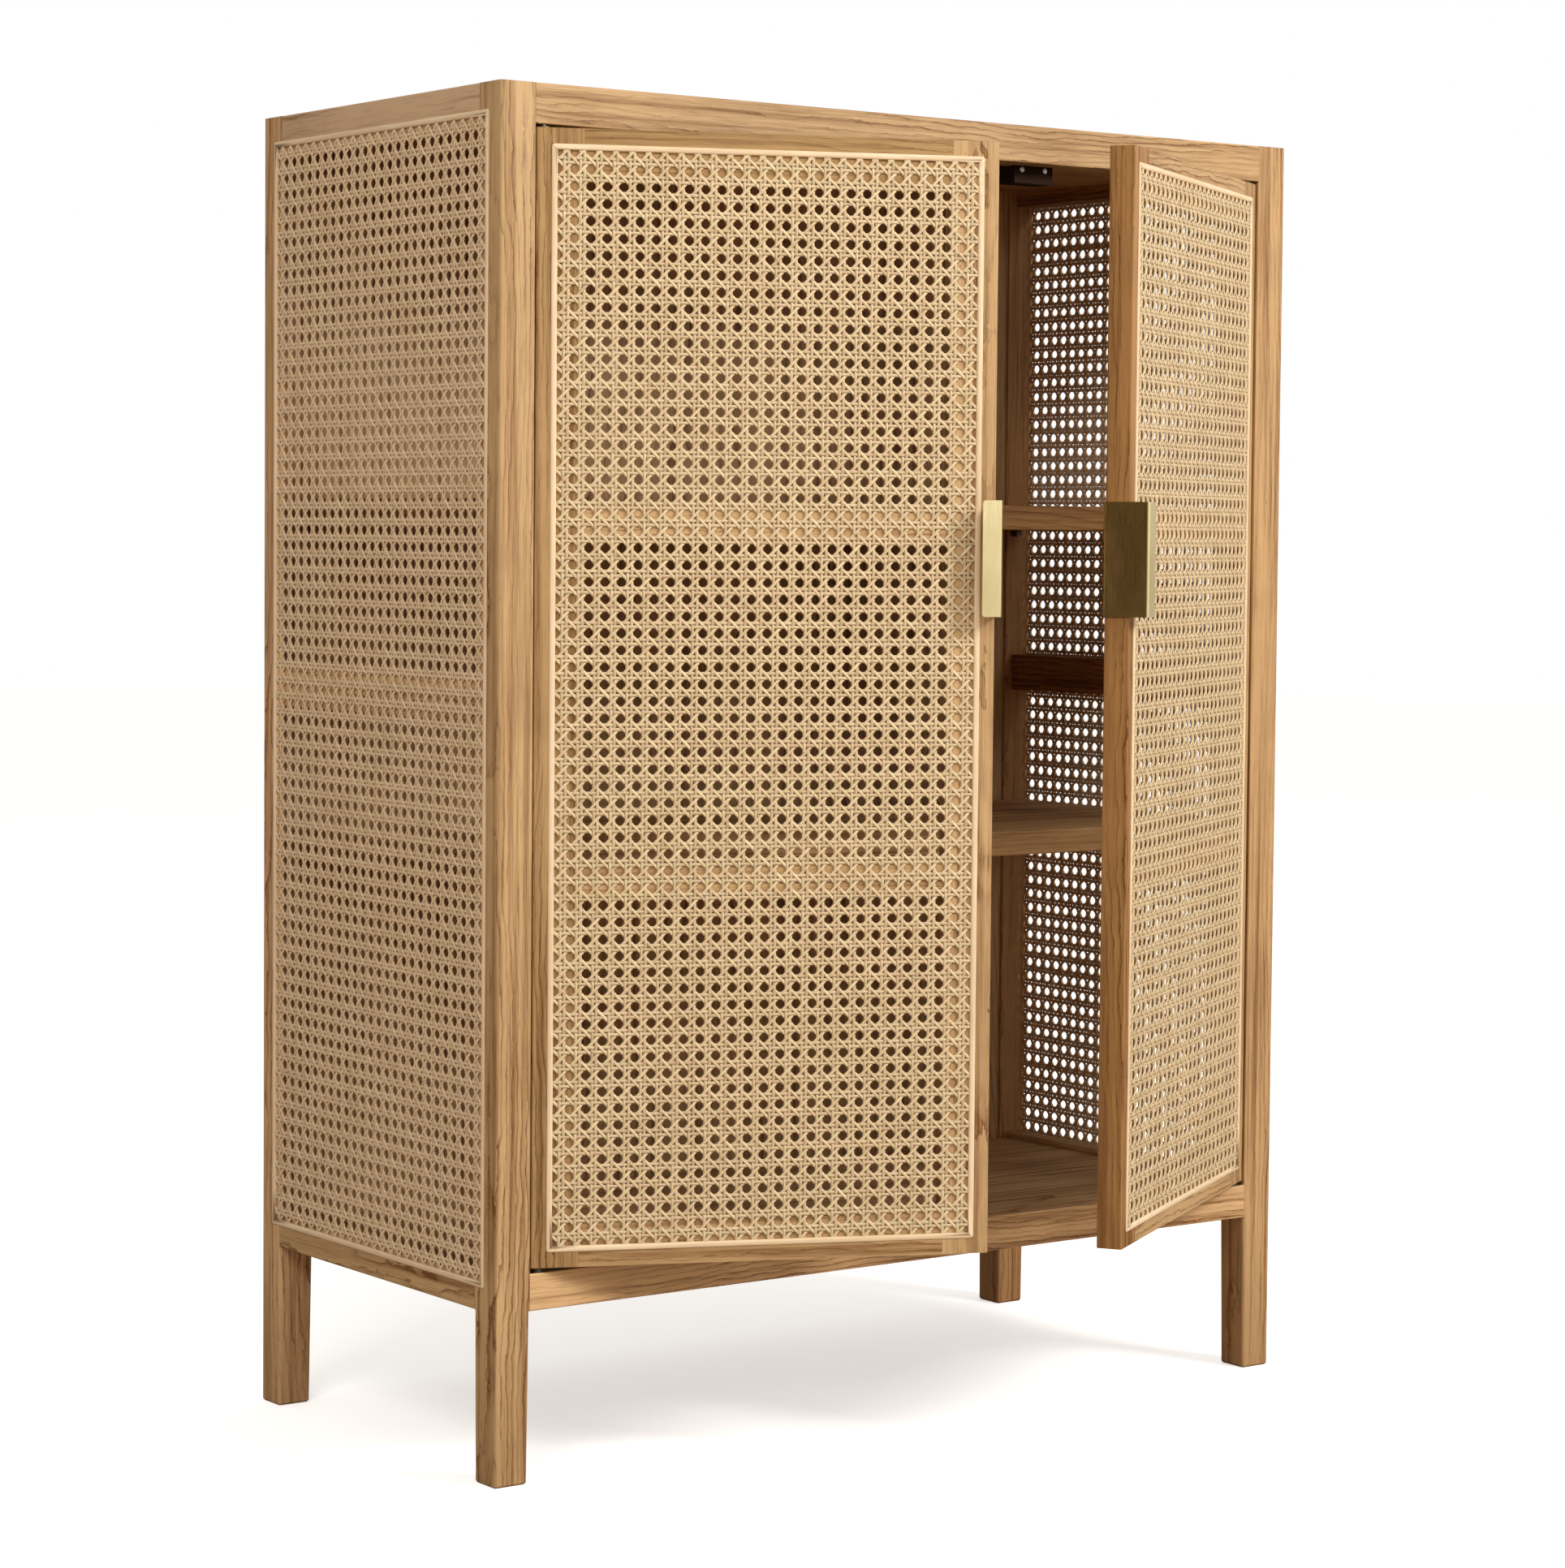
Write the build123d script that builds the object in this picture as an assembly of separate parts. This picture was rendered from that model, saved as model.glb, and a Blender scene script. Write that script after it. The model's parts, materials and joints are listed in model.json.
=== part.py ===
from build123d import *
import os

# Shoe cabinet: an oak frame on four legs, cane sides, two cane doors on pivot pins, two shelves.
# Millimetres. +X is to the right, +Y is to the back, +Z is up, and the floor is at Z = 0.
# The carcass's front face is at Y = 0 while it is built, and the last step moves the origin to the
# middle of the whole cabinet's box at floor level, with the doors standing ajar.

# ---- overall sizes ----
width = 780.0
depth = 360.0
height = 1040.0

# ---- frame ----
post = 30.0                 # side of the square posts
leg_height = 130.0          # floor to the underside of the bottom rails
leg_foot = 28.5             # side of a leg at the floor
post_round = 2.5            # outer corner of a post, and all four corners of a leg
arris = 0.6                 # eased edges where two pieces meet
rail_round = 1.2            # outer long edges of the rails
foot_ease = 1.5             # chamfer round the sole of a leg
top_rail_height = 30.0
front_bottom_rail_height = 28.0
side_bottom_rail_height = 30.0
rail_thickness = 22.0
side_mid_rail_height = 32.0
tenon_share = 0.4           # a tenon's length as a share of the post it enters
tenon_thickness = 8.0
tenon_shoulder = 5.0        # shoulder above and below a tenon
glue_gap = 0.1              # clearance round a tenon or a plate in its recess

# ---- boards ----
top_board = 18.0
bottom_board = 15.0
bottom_board_drop = 3.0     # the bottom board lies this far below the front rail's top
back_board = 6.0
shelf_thickness = 20.0
shelf_tops = (468.0, 735.0)
shelf_names = ("lower", "upper")
shelf_gap = 1.0             # from a shelf to the posts and the back board
shelf_side_gap = 8.0        # from a shelf's end to the cane
shelf_pin_radius = 3.0
shelf_pin_out = 9.0
shelf_pin_in = 12.0
shelf_pin_inset = 8.0       # from a post's inner face to its shelf pins

# ---- cane panels ----
cane_thickness = 1.6
spline_width = 4.5
spline_depth = 6.0
spline_proud = 0.4
side_cane_margin = 17.0     # from a side's front and back edge to the spline
side_cane_top = 20.0
side_cane_bottom = 17.5     # above the bottom rail's underside

# ---- doors ----
door_thickness = 20.0
door_proud = 2.0            # a closed door stands this far in front of the posts
hinge_gap = 3.2             # between a door and its post
centre_gap = 6.0            # between the two doors' wood
door_top_gap = 2.5
door_bottom_gap = 4.0
stile_width = 36.0
door_rail_height = 36.0
door_mid_rail_height = 30.0
door_mid_rail_spread = 133.2    # from the door's middle height to each middle rail's centre line
door_cane_margin = 11.5
hinge_edge_round = 1.5      # front corner of the hinge edge, so that it swings past the post
door_tenon = 15.0
left_ajar = 23.0            # degrees each door stands open in the rest pose
right_ajar = 32.1

# ---- pivots ----
pivot_inset = 6.0           # from a door's hinge edge to its pivot
pivot_depth = 6.5           # from a door's face to its pivot
pin_radius = 2.5
pin_clearance = 0.05        # radial, pin in bush
pin_engage = 9.0
pivot_plate_length = 40.0
pivot_plate_width = 12.0
pivot_plate_end = 8.0       # from the pin to the plate's end beside the post
pivot_plate_front = 1.5     # from a rail's face to the plate
pivot_plate_thickness = 2.0
bush_wall = 1.0
bush_flange_radius = 5.5
bush_flange = 1.0
bush_length = 10.0
lift_clearance = 0.05       # between the bottom bush's flange and the collar that carries it
collar_radius = 4.0
screw_radius = 1.5
screw_head_radius = 2.8
screw_clearance = 0.1
pivot_screw_length = 14.0
pivot_screw_places = (11.0, 23.0)   # from the pin to each of a plate's screws

# ---- pulls ----
pull_length = 88.0
pull_centre = 693.0         # height of a pull's middle above the floor
pull_sheet = 1.5
pull_proud = 16.0           # from the door's face to the lip's outer face
pull_lip = 16.0
pull_flange = 18.0
pull_bend = 2.5             # outer radius of the bends
pull_corner = 2.5           # rounded free corners of lip and flange
pull_screw_spacing = 56.0
pull_screw_length = 12.0

# ---- catches ----
catch_offset = 130.0        # from the cabinet's middle to each catch's centre
catch_width = 40.0
catch_nose_height = 14.0
catch_body_depth = 12.0
catch_clearance = 0.3       # from a closed door's strike to the catch
strike_width = 30.0
strike_height = 12.0
strike_thickness = 1.0

# ---- places worked out from the sizes ----
side_x = width / 2
inner_x = side_x - post                         # posts' inner faces
rail_inner_x = side_x - rail_thickness          # side rails' inner faces
rail_back_y = depth - rail_thickness            # back rails' inner faces
top_rail_z = height - top_rail_height
front_rail_top = leg_height + front_bottom_rail_height
side_rail_top = leg_height + side_bottom_rail_height
board_top = front_rail_top - bottom_board_drop
top_board_z = height - top_board
back_board_y = rail_back_y - back_board
tenon_length = tenon_share * post

door_bottom = front_rail_top + door_bottom_gap
door_top = top_rail_z - door_top_gap
door_middle = (door_bottom + door_top) / 2
door_edge_x = inner_x - hinge_gap               # hinge edge of a closed door, from the middle
door_width = door_edge_x - centre_gap / 2
pivot_x = door_edge_x - pivot_inset
pivot_y = pivot_depth - door_proud
plate_middle_y = pivot_plate_front + pivot_plate_width / 2
bush_radius = pin_radius + pin_clearance + bush_wall
ajar = {-1: left_ajar, 1: right_ajar}
side_name = {-1: "left", 1: "right"}

parts = {}                                      # node name: shape


def block(x0, x1, y0, y1, z0, z1):
    """A box between two corners, given in either order."""
    size = (abs(x1 - x0), abs(y1 - y0), abs(z1 - z0))
    return Pos((x0 + x1) / 2, (y0 + y1) / 2, (z0 + z1) / 2) * Box(*size)


def upright(x, y, z0, z1, radius):
    """A vertical cylinder between two heights."""
    return Pos(x, y, (z0 + z1) / 2) * Cylinder(radius, z1 - z0)


def long_edges(shape, axis, points):
    """The edges along an axis that lie nearest to the given points."""
    edges = shape.edges().filter_by(axis)
    return [edges.sort_by_distance(point)[0] for point in points]


# ---------------------------------------------------------------- frame rails with tenons

def rail_along_x(y0, y1, z0, z1, outer_y, reach_x=inner_x):
    """A rail between the posts of one face, with a stub tenon at each end, and its mortises."""
    body = block(-reach_x, reach_x, y0, y1, z0, z1)
    corners = [(0, outer_y, z0), (0, outer_y, z1)]
    body = fillet(long_edges(body, Axis.X, corners), rail_round)
    middle = (y0 + y1) / 2 if abs(y1 - y0) <= rail_thickness else outer_y + rail_thickness / 2
    pockets = []
    for end in (-1, 1):
        body += tenon_x(end, reach_x, middle, z0, z1, 0)
        pockets.append(tenon_x(end, reach_x, middle, z0, z1, glue_gap))
    return body, pockets


def tenon_x(end, start, middle, z0, z1, grow):
    """A tenon that leaves a rail's end along X, grown on every side for its mortise."""
    half = tenon_thickness / 2 + grow
    low = z0 + tenon_shoulder - grow
    high = z1 - tenon_shoulder + grow
    return block(end * start, end * (start + tenon_length + grow), middle - half, middle + half, low, high)


def rail_along_y(side, z0, z1):
    """A side rail between the front and back post, with its tenons, and its mortises."""
    outer = side * side_x
    body = block(outer, side * rail_inner_x, post, depth - post, z0, z1)
    corners = [(outer, depth / 2, z0), (outer, depth / 2, z1)]
    body = fillet(long_edges(body, Axis.Y, corners), rail_round)
    pockets = []
    for y, out in ((post, -1), (depth - post, 1)):
        body += tenon_y(side, y, out, z0, z1, 0)
        pockets.append(tenon_y(side, y, out, z0, z1, glue_gap))
    return body, pockets


def tenon_y(side, start, out, z0, z1, grow):
    """A tenon that leaves a side rail's end along Y."""
    half = tenon_thickness / 2 + grow
    middle = side * (side_x - rail_thickness / 2)
    low = z0 + tenon_shoulder - grow
    high = z1 - tenon_shoulder + grow
    return block(middle - half, middle + half, start, start + out * (tenon_length + grow), low, high)


# ---------------------------------------------------------------- cane, spline and their recess

def cane_panel(plane, panel_width, panel_height):
    """The recess and groove to cut, the cane sheet and the spline, on a plane facing outwards."""
    inside = (panel_width - 2 * spline_width, panel_height - 2 * spline_width)
    recess = Pos(0, 0, -cane_thickness / 2) * Box(panel_width, panel_height, cane_thickness)
    ring = Rectangle(panel_width, panel_height) - Rectangle(*inside)
    groove = Pos(0, 0, -spline_depth) * extrude(ring, spline_depth)
    spline = Pos(0, 0, -spline_depth) * extrude(ring, spline_depth + spline_proud)
    cane = Pos(0, 0, -cane_thickness / 2) * Box(*inside, cane_thickness)
    return plane * (recess + groove), plane * cane, plane * spline


def side_plane(side):
    """The plane of a side's cane, centred on it and facing outwards."""
    low = leg_height + side_cane_bottom
    high = height - side_cane_top
    origin = (side * side_x, depth / 2, (low + high) / 2)
    return Plane(origin, x_dir=(0, side, 0), z_dir=(side, 0, 0)), high - low


# ---------------------------------------------------------------- posts

def make_post(side, back):
    """One post: a square length beside the carcass and a slightly tapered leg below it."""
    outer_x = side * side_x
    outer_y = depth if back else 0
    inward_y = -1 if back else 1
    upper = block(outer_x, side * inner_x, outer_y, outer_y + inward_y * post, leg_height, height)
    middle_z = (leg_height + height) / 2
    outer_edge = long_edges(upper, Axis.Z, [(outer_x, outer_y, middle_z)])
    upper = fillet(outer_edge, post_round)
    corners = [(side * inner_x, outer_y), (outer_x, outer_y + inward_y * post)]
    corners.append((side * inner_x, outer_y + inward_y * post))
    upper = fillet(long_edges(upper, Axis.Z, [(x, y, middle_z) for x, y in corners]), arris)
    sections = []
    for size, z in ((post, leg_height), (leg_foot, 0)):
        x = outer_x - side * size / 2
        y = outer_y + inward_y * size / 2
        sections.append(Pos(x, y, z) * RectangleRounded(size, size, post_round))
    leg = loft([section.face() for section in sections])
    leg = chamfer(leg.faces().sort_by(Axis.Z)[0].edges(), foot_ease)
    return upper + leg


# ---------------------------------------------------------------- carcass

posts = {}
for side in (-1, 1):
    for end, back in (("front", False), ("back", True)):
        posts[(side, end)] = make_post(side, back)

front_rails = {
    "front_top_rail": rail_along_x(0, post, top_rail_z, height, 0),
    "front_bottom_rail": rail_along_x(0, rail_thickness, leg_height, front_rail_top, 0),
}
back_rails = {
    "back_top_rail": rail_along_x(rail_back_y, depth, top_rail_z, height, depth),
    "back_bottom_rail": rail_along_x(rail_back_y, depth, leg_height, front_rail_top, depth),
}
side_mid_z = (leg_height + height) / 2
side_rails = {}
for side in (-1, 1):
    name = side_name[side]
    half_mid = side_mid_rail_height / 2
    side_rails[(side, name + "_top_rail")] = rail_along_y(side, top_rail_z, height)
    side_rails[(side, name + "_bottom_rail")] = rail_along_y(side, leg_height, side_rail_top)
    side_rails[(side, name + "_mid_rail")] = rail_along_y(side, side_mid_z - half_mid, side_mid_z + half_mid)

for end, rails in (("front", front_rails), ("back", back_rails)):
    for name, (rail, pockets) in rails.items():
        for side, pocket in zip((-1, 1), pockets):
            posts[(side, end)] -= pocket
        parts[name] = rail
for (side, name), (rail, pockets) in side_rails.items():
    for end, pocket in zip(("front", "back"), pockets):
        posts[(side, end)] -= pocket
    parts[name] = rail

for side in (-1, 1):
    plane, panel_height = side_plane(side)
    recess, cane, spline = cane_panel(plane, depth - 2 * side_cane_margin, panel_height)
    for end in ("front", "back"):
        posts[(side, end)] -= recess
    for (rail_side, name) in side_rails:
        if rail_side == side:
            parts[name] -= recess
    parts[side_name[side] + "_side_cane"] = cane
    parts[side_name[side] + "_side_spline"] = spline

corner_posts = [block(side * side_x, side * inner_x, y0, y1, 0, height)
                for side in (-1, 1) for y0, y1 in ((0, post), (depth - post, depth))]

top = block(-rail_inner_x, rail_inner_x, post, rail_back_y, top_board_z, height)
bottom = block(-rail_inner_x, rail_inner_x, rail_thickness, rail_back_y, board_top - bottom_board, board_top)
for corner in corner_posts:
    top -= corner
    bottom -= corner
parts["top_board"] = top
parts["bottom_board"] = bottom
parts["back_board"] = block(-inner_x, inner_x, back_board_y, rail_back_y, board_top, top_board_z)

# ---------------------------------------------------------------- shelves on pins in the posts

shelf_x = side_x - cane_thickness - shelf_side_gap
shelf_front = post + shelf_gap
shelf_back = min(depth - post, back_board_y) - shelf_gap
for level, shelf_top in zip(shelf_names, shelf_tops):
    under = shelf_top - shelf_thickness
    shelf = block(-shelf_x, shelf_x, shelf_front, shelf_back, under, shelf_top)
    front_edges = [(0, shelf_front, under), (0, shelf_front, shelf_top)]
    parts[level + "_shelf"] = fillet(long_edges(shelf, Axis.X, front_edges), rail_round)
    pins = []
    for side in (-1, 1):
        for end, face, out in (("front", post, 1), ("back", depth - post, -1)):
            start = face - out * shelf_pin_in
            stop = face + out * shelf_pin_out
            place = Pos(side * (inner_x + shelf_pin_inset), (start + stop) / 2, under - shelf_pin_radius)
            length = shelf_pin_in + shelf_pin_out
            pins.append(place * Rot(90, 0, 0) * Cylinder(shelf_pin_radius, length))
            hole = Rot(90, 0, 0) * Cylinder(shelf_pin_radius + glue_gap, length + 2 * glue_gap)
            posts[(side, end)] -= place * hole
    parts[level + "_shelf_pins"] = Compound(children=pins)

# ---------------------------------------------------------------- doors, built closed


def door_block(side, u0, u1, t0, t1, z0, z1):
    """A box in a closed door: u from its hinge edge, t outwards from its front face."""
    return block(side * (door_edge_x - u0), side * (door_edge_x - u1), -t0, -t1, z0, z1)


def door_rail(side, z0, z1):
    """A door rail between the stiles, with a tenon at each end, and its mortises."""
    rail = door_block(side, stile_width, door_width - stile_width, -door_thickness, 0, z0, z1)
    pockets = []
    for grow in (0, glue_gap):
        t0 = -(door_thickness + tenon_thickness) / 2 - grow
        t1 = -(door_thickness - tenon_thickness) / 2 + grow
        low = z0 + tenon_shoulder - grow
        high = z1 - tenon_shoulder + grow
        reach = door_tenon + grow
        near = door_block(side, stile_width - reach, stile_width, t0, t1, low, high)
        far_edge = door_width - stile_width
        far = door_block(side, far_edge, far_edge + reach, t0, t1, low, high)
        if grow:
            pockets = [near, far]
        else:
            rail += near + far
    return rail, pockets


def make_pull(side):
    """The bent pull: a flange on the door's back, a plate over its edge, and a lip over its face."""
    low = pull_centre - pull_length / 2
    high = pull_centre + pull_length / 2
    outer = door_width + pull_sheet
    back = -door_thickness - pull_sheet
    flange = door_block(side, outer - pull_flange, outer, back, -door_thickness, low, high)
    plate = door_block(side, door_width, outer, back, pull_proud, low, high)
    lip = door_block(side, outer - pull_lip, outer, pull_proud - pull_sheet, pull_proud, low, high)
    pull = flange + plate + lip
    outer_x = side * (door_edge_x - outer)
    bends = [(outer_x, -back, pull_centre), (outer_x, -pull_proud, pull_centre)]
    pull = fillet(long_edges(pull, Axis.Z, bends), pull_bend)
    inner_x_at = side * (door_edge_x - door_width)
    inner_bend = [(inner_x_at, -(pull_proud - pull_sheet), pull_centre)]
    pull = fillet(long_edges(pull, Axis.Z, inner_bend), pull_bend - pull_sheet)
    free_corners = []
    for reach, t in ((pull_lip, pull_proud - pull_sheet / 2), (pull_flange, back + pull_sheet / 2)):
        x = side * (door_edge_x - (outer - reach))
        free_corners += [(x, -t, low), (x, -t, high)]
    return fillet(long_edges(pull, Axis.Y, free_corners), pull_corner)


def countersunk_screw(length, grow):
    """A screw along -Z whose head is flush with Z = 0, grown for its hole."""
    head_radius = screw_head_radius + grow
    shank_radius = screw_radius + grow
    head_depth = head_radius - shank_radius
    head = Pos(0, 0, -head_depth / 2) * Cone(shank_radius, head_radius, head_depth)
    shank = Pos(0, 0, -(length + grow) / 2) * Cylinder(shank_radius, length + grow)
    return head + shank


def make_door(side):
    """All pieces of one closed door."""
    bottom_rail, bottom_pockets = door_rail(side, door_bottom, door_bottom + door_rail_height)
    top_rail, top_pockets = door_rail(side, door_top - door_rail_height, door_top)
    half = door_mid_rail_height / 2
    lower_z = door_middle - door_mid_rail_spread
    upper_z = door_middle + door_mid_rail_spread
    lower_rail, lower_pockets = door_rail(side, lower_z - half, lower_z + half)
    upper_rail, upper_pockets = door_rail(side, upper_z - half, upper_z + half)
    all_pockets = (bottom_pockets, top_pockets, lower_pockets, upper_pockets)

    hinge_stile = door_block(side, 0, stile_width, -door_thickness, 0, door_bottom, door_top)
    front_corner = [(side * door_edge_x, 0, door_middle)]
    hinge_stile = fillet(long_edges(hinge_stile, Axis.Z, front_corner), hinge_edge_round)
    closing_stile = door_block(side, door_width - stile_width, door_width, -door_thickness, 0,
                               door_bottom, door_top)
    free_edge_x = side * (door_edge_x - door_width)
    free_corners = [(free_edge_x, 0, door_middle), (free_edge_x, door_thickness, door_middle)]
    closing_stile = fillet(long_edges(closing_stile, Axis.Z, free_corners), rail_round)
    for near, far in all_pockets:
        hinge_stile -= near
        closing_stile -= far

    plane = Plane((side * (door_edge_x - door_width / 2), 0, door_middle), x_dir=(1, 0, 0), z_dir=(0, -1, 0))
    panel_width = door_width - 2 * door_cane_margin
    panel_height = door_top - door_bottom - 2 * door_cane_margin
    recess, cane, spline = cane_panel(plane, panel_width, panel_height)

    flange_x = side * (door_edge_x - (door_width + pull_sheet - pull_flange / 2))
    screws = []
    for step in (-0.5, 0.5):
        seat = Location((flange_x, door_thickness + pull_sheet, pull_centre + step * pull_screw_spacing),
                        (-90, 0, 0))
        screws.append(seat * countersunk_screw(pull_screw_length, 0))
        closing_stile -= seat * countersunk_screw(pull_screw_length, screw_clearance)
    pull = make_pull(side)
    for step in (-0.5, 0.5):
        seat = Location((flange_x, door_thickness + pull_sheet, pull_centre + step * pull_screw_spacing),
                        (-90, 0, 0))
        pull -= seat * countersunk_screw(pull_screw_length, screw_clearance)

    bushes = []
    for edge, inward in ((door_bottom, 1), (door_top, -1)):
        x = side * pivot_x
        sleeve = upright(x, pivot_depth, *sorted((edge, edge + inward * bush_length)), bush_radius)
        flange = upright(x, pivot_depth, *sorted((edge, edge - inward * bush_flange)), bush_flange_radius)
        bore_ends = sorted((edge - inward * bush_flange, edge + inward * bush_length))
        bore = upright(x, pivot_depth, *bore_ends, pin_radius + pin_clearance)
        bushes.append(sleeve + flange - bore)
        hole_end = edge + inward * (bush_length + 1)
        hinge_stile -= upright(x, pivot_depth, *sorted((edge, hole_end)), bush_radius + glue_gap / 2)

    strike_u = door_edge_x - catch_offset
    strike_z = door_top - strike_height / 2 - 1
    strike = door_block(side, strike_u - strike_width / 2, strike_u + strike_width / 2,
                        -door_thickness - strike_thickness, -door_thickness,
                        strike_z - strike_height / 2, strike_z + strike_height / 2)
    return {
        "hinge_stile": hinge_stile - recess,
        "closing_stile": closing_stile - recess,
        "top_rail": top_rail - recess,
        "bottom_rail": bottom_rail - recess,
        "upper_mid_rail": upper_rail - recess,
        "lower_mid_rail": lower_rail - recess,
        "cane": cane,
        "spline": spline,
        "pull": pull,
        "pull_screws": Compound(children=screws),
        "bushes": Compound(children=bushes),
        "strike": strike,
    }


def swing(shape, side, degrees):
    """Bring a door's piece forward to its place and turn it about the pivot to open it."""
    axis = Axis((side * pivot_x, pivot_y, 0), (0, 0, side))
    return shape.moved(Location((0, -door_proud, 0))).rotate(axis, degrees)


for side in (-1, 1):
    for name, shape in make_door(side).items():
        parts[side_name[side] + "_door_" + name] = swing(shape, side, ajar[side])

# ---------------------------------------------------------------- pivots on the rails

pivot_screws = []
for side in (-1, 1):
    for level, face, out in (("top", top_rail_z, -1), ("bottom", front_rail_top, 1)):
        x = side * pivot_x
        into = -out
        plate_z = sorted((face, face + into * pivot_plate_thickness))
        near = x + side * pivot_plate_end
        far = near - side * pivot_plate_length
        plate_back = pivot_plate_front + pivot_plate_width
        plate = block(near, far, pivot_plate_front, plate_back, *plate_z)
        gap = door_top_gap if level == "top" else door_bottom_gap
        pin_end = face + out * (gap + pin_engage)
        pivot = plate + upright(x, pivot_y, *sorted((face, pin_end)), pin_radius)
        if level == "bottom":
            collar_top = face + gap - bush_flange - lift_clearance
            pivot += upright(x, pivot_y, face, collar_top, collar_radius)
        pocket = block(near + side * glue_gap, far - side * glue_gap,
                       pivot_plate_front - glue_gap, plate_back + glue_gap, *plate_z)
        rail = "front_" + level + "_rail"
        parts[rail] -= pocket
        for distance in pivot_screw_places:
            turn = (180, 0, 0) if level == "top" else (0, 0, 0)
            seat = Location((x - side * distance, plate_middle_y, face), turn)
            pivot_screws.append(seat * countersunk_screw(pivot_screw_length, 0))
            hole = seat * countersunk_screw(pivot_screw_length, screw_clearance)
            pivot -= hole
            parts[rail] -= hole
        parts[side_name[side] + "_" + level + "_pivot"] = pivot
parts["pivot_screws"] = Compound(children=pivot_screws)

# ---------------------------------------------------------------- magnetic catches

catch_front = door_thickness - door_proud + strike_thickness + catch_clearance
for side in (-1, 1):
    x = side * catch_offset
    nose_low = top_rail_z - catch_nose_height
    nose = block(x - catch_width / 2, x + catch_width / 2, catch_front, post, nose_low, top_rail_z)
    body = block(x - catch_width / 2, x + catch_width / 2, post, post + catch_body_depth,
                 nose_low, top_board_z)
    parts[side_name[side] + "_catch"] = nose + body

for (side, end), shape in posts.items():
    parts[end + "_" + side_name[side] + "_post"] = shape

# ---------------------------------------------------------------- origin and export

everything = Compound(children=[shape.moved(Location()) for shape in parts.values()])
box = everything.bounding_box()
origin_y = (box.min.Y + box.max.Y) / 2

if __name__ == "__main__":
    os.makedirs("parts", exist_ok=True)
    for name, shape in parts.items():
        export_step(shape.moved(Location((0, -origin_y, 0))), "parts/" + name + ".step")
    print(len(parts), "nodes, origin", round(origin_y, 3), "mm behind the front face")
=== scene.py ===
"""Cane shoe cabinet: woven cane, reed splines, oiled oak and brass, built round the packed frame."""

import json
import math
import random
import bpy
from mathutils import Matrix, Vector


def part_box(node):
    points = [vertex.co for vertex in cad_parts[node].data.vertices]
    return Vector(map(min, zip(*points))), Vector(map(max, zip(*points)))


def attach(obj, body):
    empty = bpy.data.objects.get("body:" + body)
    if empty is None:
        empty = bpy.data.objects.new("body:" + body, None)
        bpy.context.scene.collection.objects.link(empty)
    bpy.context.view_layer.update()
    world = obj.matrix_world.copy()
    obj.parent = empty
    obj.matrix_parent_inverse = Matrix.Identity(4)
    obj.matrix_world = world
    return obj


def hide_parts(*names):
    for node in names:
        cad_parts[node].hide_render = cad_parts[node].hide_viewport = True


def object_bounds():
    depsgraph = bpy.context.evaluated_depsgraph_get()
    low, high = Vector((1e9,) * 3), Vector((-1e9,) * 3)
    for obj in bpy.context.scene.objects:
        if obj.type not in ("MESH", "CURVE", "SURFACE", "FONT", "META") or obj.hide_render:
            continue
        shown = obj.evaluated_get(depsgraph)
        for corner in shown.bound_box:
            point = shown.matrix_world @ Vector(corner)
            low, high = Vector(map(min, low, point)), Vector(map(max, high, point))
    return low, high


bl_info = {
    "name": "Cane Shoe Cabinet",
    "version": (1, 0, 0),
    "blender": (4, 5, 0),
    "location": "3D View > Sidebar > Cabinet",
    "description": "Weaves the cane, sets the splines and finishes the oak and brass of a shoe cabinet",
    "category": "Add Mesh",
}

import bpy
import numpy as np
from bpy.props import FloatProperty, FloatVectorProperty, IntProperty, PointerProperty
from mathutils import Matrix, Vector

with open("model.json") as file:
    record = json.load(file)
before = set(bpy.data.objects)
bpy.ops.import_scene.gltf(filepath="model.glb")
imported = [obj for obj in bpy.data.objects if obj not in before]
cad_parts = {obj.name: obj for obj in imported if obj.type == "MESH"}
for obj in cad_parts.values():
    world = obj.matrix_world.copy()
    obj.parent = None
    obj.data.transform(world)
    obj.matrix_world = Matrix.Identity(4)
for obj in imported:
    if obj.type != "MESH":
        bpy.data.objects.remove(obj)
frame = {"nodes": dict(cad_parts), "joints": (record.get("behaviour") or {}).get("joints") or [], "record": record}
CAD_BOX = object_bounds()

DOORS = ("left_door", "right_door")
PAINTED_LIGHT_AND_SHADE_TINTS = {                            # oak pieces tinted to how they are lit: below 1 paints shade on a piece, above 1 paints light on it
    "right_door_closing_stile": (0.69, 0.55, 0.39),
    "left_door_hinge_stile": (0.82, 0.79, 0.70),
    "left_door_top_rail": (0.71, 0.68, 0.58),
    "left_door_bottom_rail": (0.93, 0.92, 0.90),
    "front_bottom_rail": (1.20, 1.18, 1.22),
    "right_mid_rail": (0.70, 0.50, 0.38),
    "right_top_rail": (0.82, 0.68, 0.56),
    "top_board": (0.86, 0.75, 0.64),
    "back_left_post": (1.20, 1.18, 1.26),
    "left_top_rail": (1.04, 1.11, 1.40),
    "back_right_post": (0.88, 0.76, 0.64),
    "front_right_post": (0.96, 0.93, 0.90),
    "upper_shelf": (0.90, 0.76, 0.62),
    "lower_shelf": (1.0, 0.92, 0.84),
}
PANELS = {                          # each cane sheet and the body that it rides on
    "left_side_cane": "cabinet",
    "right_side_cane": "cabinet",
    "left_door_cane": "left_door",
    "right_door_cane": "right_door",
}

OAK_SEED = 23
LOG_PLACES = ((-9, 9), (0.03, 0.12), (0.02, 0.09))    # where pieces are cut from the log, in metres
OAK_TINTS = (0.97, 1.03)            # how far one piece's tone lies from the next
OAK_WEAR = 0.35                     # how strongly the handling smudges and the darkening towards the bottom show on the oak

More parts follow.
